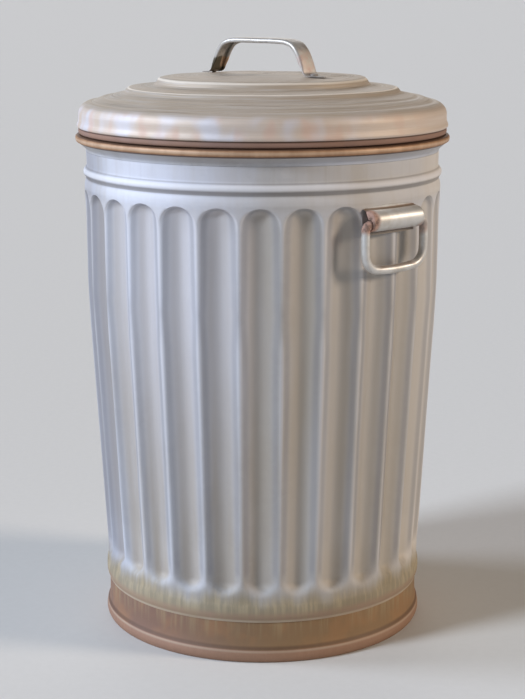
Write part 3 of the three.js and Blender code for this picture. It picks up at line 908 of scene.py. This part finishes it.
def band_material():
    shade = Shade("band_finish")
    streaks = shade.noise(150.0, 14.0, stretch=(1, 1, 16))
    fine = shade.noise(420.0, 15.0, stretch=(1, 1, 3))
    clouds = shade.noise(20.0, 16.0)
    mauve, olive = (0.200, 0.115, 0.082), (0.245, 0.150, 0.073)
    colour = shade.mix(shade.facing(0.0, 10.0, 85.0), mauve, olive)
    colour = shade.mix(shade.both(shade.fade(clouds, 0.45, 0.65), 0.30), colour, ORANGE_RUST)
    fresh = shade.both(shade.fade(streaks, 0.42, 0.66), shade.fade(shade.height, 0.018, 0.050))
    colour = shade.mix(shade.both(fresh, 0.45), colour, GOLDEN_DUST)
    foot = shade.fade(shade.height, 0.0165, 0.0150)
    foot_rust = shade.mix(fine, (0.27, 0.150, 0.100), (0.34, 0.20, 0.135))
    colour = shade.mix(shade.both(foot, 0.75), colour, foot_rust)
    # Painted shade in the crease above the rolled foot
    crease = shade.between(shade.height, (0.0152, 0.0168), (0.0215, 0.0180))
    colour = shade.mix(shade.both(crease, 0.65), colour, DARK_SHADE)
    # Painted highlight along the top of the rolled foot
    edge_highlight = shade.between(shade.height, (0.0115, 0.0140), (0.0156, 0.0146))
    colour = shade.mix(shade.both(edge_highlight, shade.level(clouds, 0.10, 0.50)), colour, CREAM_HIGHLIGHT)
    relief = shade.calc("ADD", fine, streaks)
    rough = shade.level(clouds, 0.55, 0.78)
    return shade.done(colour, rough, shade.level(streaks, 0.10, 0.35), relief, 0.00018)


def handle_rust(shade, clouds):
    """Shares of rust on the drop handles and their sleeves: all of it, and the browner part."""
    middle = (CLIP_LOW.z + CLIP_HIGH.z) / 2
    top, low = (middle + SLEEVE_RADIUS) * MM, (middle - SLEEVE_RADIUS) * MM
    off_axis = shade.calc("ABSOLUTE", shade.y)
    end = shade.near((PIVOT.x * MM - 0.003, -0.0440, PIVOT.z * MM + 0.004), 0.0130, 0.0185)
    far_end = shade.near((PIVOT.x * MM, 0.043, PIVOT.z * MM - 0.008), 0.006, 0.013)
    upper_root = shade.between(shade.height, (top - 0.0009, top - 0.0001), (top + 0.0023, top + 0.0013))
    lower_root = shade.between(shade.height, (low + 0.0011, low + 0.0003), (low - 0.0017, low - 0.0009))
    root = shade.both(shade.either(upper_root, lower_root), shade.fade(shade.radius, 0.2245, 0.2225))
    inside = shade.both(shade.fade(off_axis, 0.0412, 0.0402), shade.fade(shade.radius, 0.2275, 0.2265),
                        shade.between(shade.height, (0.512, 0.516), (0.536, 0.534)))
    bar_top = shade.both(shade.between(shade.height, (0.4712, 0.4728), (0.480, 0.478)),
                         shade.fade(off_axis, 0.034, 0.022))
    rust = shade.either(shade.both(end, shade.fade(clouds, 0.16, 0.36)), shade.both(root, 0.9),
                        shade.both(far_end, 0.6), shade.both(inside, 0.8), shade.both(bar_top, 0.8))
    return rust, shade.either(root, bar_top)


def handle_material():
    shade = Shade("handle_finish")
    fine = shade.noise(380.0, 17.0)
    clouds = shade.noise(40.0, 18.0)
    blots = shade.noise(150.0, 24.0)
    colour = shade.mix(shade.fade(clouds, 0.4, 0.65), (0.66, 0.65, 0.63), (0.54, 0.51, 0.47))
    colour = shade.mix(shade.both(shade.fade(fine, 0.48, 0.68), 0.35), colour, PALE_ZINC)
    rust, browner = handle_rust(shade, clouds)
    brown = shade.mix(shade.fade(blots, 0.38, 0.60), (0.14, 0.065, 0.04), (0.42, 0.235, 0.175))
    brown = shade.mix(browner, brown, (0.16, 0.085, 0.035))
    colour = shade.mix(shade.both(rust, 0.9), colour, brown)
    lower_flange = shade.both(shade.between(shade.height, (0.5140, 0.5130), (0.5050, 0.5080)),
                              shade.fade(shade.radius, 0.2210, 0.2200))
    colour = shade.mix(shade.both(lower_flange, 0.85), colour, (0.17, 0.13, 0.095))
    rust = shade.either(rust, shade.both(lower_flange, 0.9))
    roughness = shade.level(rust, shade.level(clouds, 0.36, 0.50), 0.75)
    return shade.done(colour, roughness, shade.level(rust, 0.50, 0.05), fine, 0.00006)


def strap_material():
    shade = Shade("strap_finish")
    fine = shade.noise(380.0, 19.0)
    clouds = shade.noise(46.0, 20.0)
    blots = shade.noise(120.0, 23.0)
    colour = shade.mix(shade.fade(clouds, 0.4, 0.65), (0.50, 0.48, 0.455), (0.42, 0.39, 0.35))
    colour = shade.mix(shade.both(shade.fade(blots, 0.54, 0.64), 0.5), colour, (0.28, 0.245, 0.245))
    cosine, sine = math.cos(math.radians(STRAP_ANGLE)), math.sin(math.radians(STRAP_ANGLE))
    along = shade.calc("ADD", shade.both(shade.x, cosine), shade.both(shade.y, sine))
    across = shade.calc("SUBTRACT", shade.both(shade.y, cosine), shade.both(shade.x, sine))
    # The left leg is dark below a ragged line, with an orange edge, the right one is spotted, the feet are
    # dull
    ragged = shade.calc("ADD", shade.height, shade.both(blots, 0.016))
    left = shade.both(shade.fade(along, -0.050, -0.058), shade.fade(ragged, 0.7085, 0.7050))
    right = shade.both(shade.fade(along, 0.048, 0.060),
                       shade.between(shade.height, (0.714, 0.704), (0.681, 0.688)))
    orange = shade.both(shade.fade(across, 0.002, 0.006), shade.fade(shade.height, 0.684, 0.691))
    dark_leg = shade.mix(orange, (0.050, 0.038, 0.018), (0.46, 0.30, 0.19))
    colour = shade.mix(shade.both(left, 0.95), colour, dark_leg)
    spots = shade.both(right, shade.fade(blots, 0.36, 0.62), 0.55)
    colour = shade.mix(spots, colour, (0.50, 0.34, 0.29))
    foot = shade.fade(shade.height, 0.6835, 0.6815)
    colour = shade.mix(shade.both(foot, 0.6), colour, (0.20, 0.17, 0.15))
    rust = shade.either(left, shade.both(right, 0.5), shade.both(foot, 0.6))
    return shade.done(colour, shade.level(rust, 0.40, 0.72), shade.level(rust, 0.50, 0.1), fine, 0.00010)


def wire_material():
    shade = Shade("wire_finish")
    drawn = shade.noise(300.0, 21.0)
    colour = shade.mix(drawn, (0.16, 0.11, 0.08), (0.34, 0.28, 0.22))
    return shade.done(colour, shade.level(drawn, 0.45, 0.7), 0.6, drawn, 0.00008)


# ---- The studio -----------------------------------------------------------------------------

def floor():
    bpy.ops.mesh.primitive_plane_add(size=160.0, location=(0, 0, 0))
    plane = bpy.context.object
    plane.name = "studio_floor"
    shade = Shade("floor_finish")
    speckle = shade.noise(90.0, 22.0)
    colour = shade.mix(speckle, (0.60, 0.59, 0.57), (0.64, 0.63, 0.61))
    plane.data.materials.append(shade.done(colour, 0.85, 0.0, speckle, 0.0002))


def soft_light(name, azimuth, elevation, strength, spread, colour):
    """A broad distant lamp, spread degrees across. Azimuth 0 is in front, on the -Y side."""
    lamp = bpy.data.lights.new(name, "SUN")
    lamp.energy = strength
    lamp.angle = math.radians(spread)
    lamp.color = colour
    holder = bpy.data.objects.new(name, lamp)
    holder.rotation_euler = (math.radians(90 - elevation), 0, math.radians(azimuth))
    bpy.context.scene.collection.objects.link(holder)


def surroundings():
    """A soft sky, brighter and cooler overhead."""
    world = bpy.data.worlds.new("soft_room")
    world.use_nodes = True
    tree = world.node_tree
    background = tree.nodes["Background"]
    direction = tree.nodes.new("ShaderNodeTexCoord").outputs["Generated"]
    axes = tree.nodes.new("ShaderNodeSeparateXYZ")
    tree.links.new(direction, axes.inputs[0])
    ramp = tree.nodes.new("ShaderNodeValToRGB")
    ramp.color_ramp.elements[0].color = (0.66, 0.59, 0.53, 1)
    ramp.color_ramp.elements[1].color = (0.84, 0.82, 0.80, 1)
    tree.links.new(axes.outputs[2], ramp.inputs[0])
    tree.links.new(ramp.outputs[0], background.inputs[0])
    background.inputs[1].default_value = 0.10
    bpy.context.scene.world = world


def camera():
    lens = bpy.data.cameras.new("camera")
    lens.lens = CAMERA_LENS
    lens.sensor_width = 36.0
    holder = bpy.data.objects.new("camera", lens)
    a = math.radians(CAMERA_AZIMUTH)
    reach = CAMERA_DISTANCE * MM
    holder.location = (reach * math.sin(a), -reach * math.cos(a), CAMERA_HEIGHT * MM)
    holder.rotation_euler = (math.radians(90 - CAMERA_PITCH), 0, a)
    bpy.context.scene.collection.objects.link(holder)
    bpy.context.scene.camera = holder


# ---- Assembly -------------------------------------------------------------------------------

FINISHES = {
    "galvanized_wall": wall_material(),
    "rim_steel": rim_material(),
    "rusted_band": band_material(),
    "galvanized_pan": pan_material(),
    "galvanized_lid": lid_material(),
    "handle_steel": handle_material(),
    "lid_strap": strap_material(),
    "steel_wire": wire_material(),
}

can_shell()
rim_hoop()
wire_ring("rim_core", "rim_wire", (NECK - RIM_ROLL, HOOP_HIGH.z - RIM_ROLL), RIM_WIRE, "can")
band_shell()
wire_ring("foot_core", "base_wire", FOOT_CENTRE, FOOT_WIRE, "can")
pan_shell()
lid_shell()
wire_ring("lid_core", "lid_wire", LID_CURL_CENTRE, LID_WIRE, "lid")
lid_strap()
for side, turn in (("right", 1), ("left", -1)):
    handle_clip(side, turn)
    handle_rod(side, turn, f"{side}_handle")
    lid_rivet(side)

floor()
soft_light("cool_key", -14.0, 29.0, 2.9, 14.0, (0.78, 0.87, 1.0))
soft_light("cool_side", -48.0, 24.0, 1.9, 20.0, (0.76, 0.84, 1.0))
soft_light("warm_side", 126.0, 21.0, 2.0, 14.0, (1.0, 0.86, 0.72))
soft_light("back_fill", -130.0, 18.0, 0.55, 40.0, (1.0, 0.97, 0.93))
surroundings()
camera()
bpy.context.scene.view_settings.view_transform = "Standard"
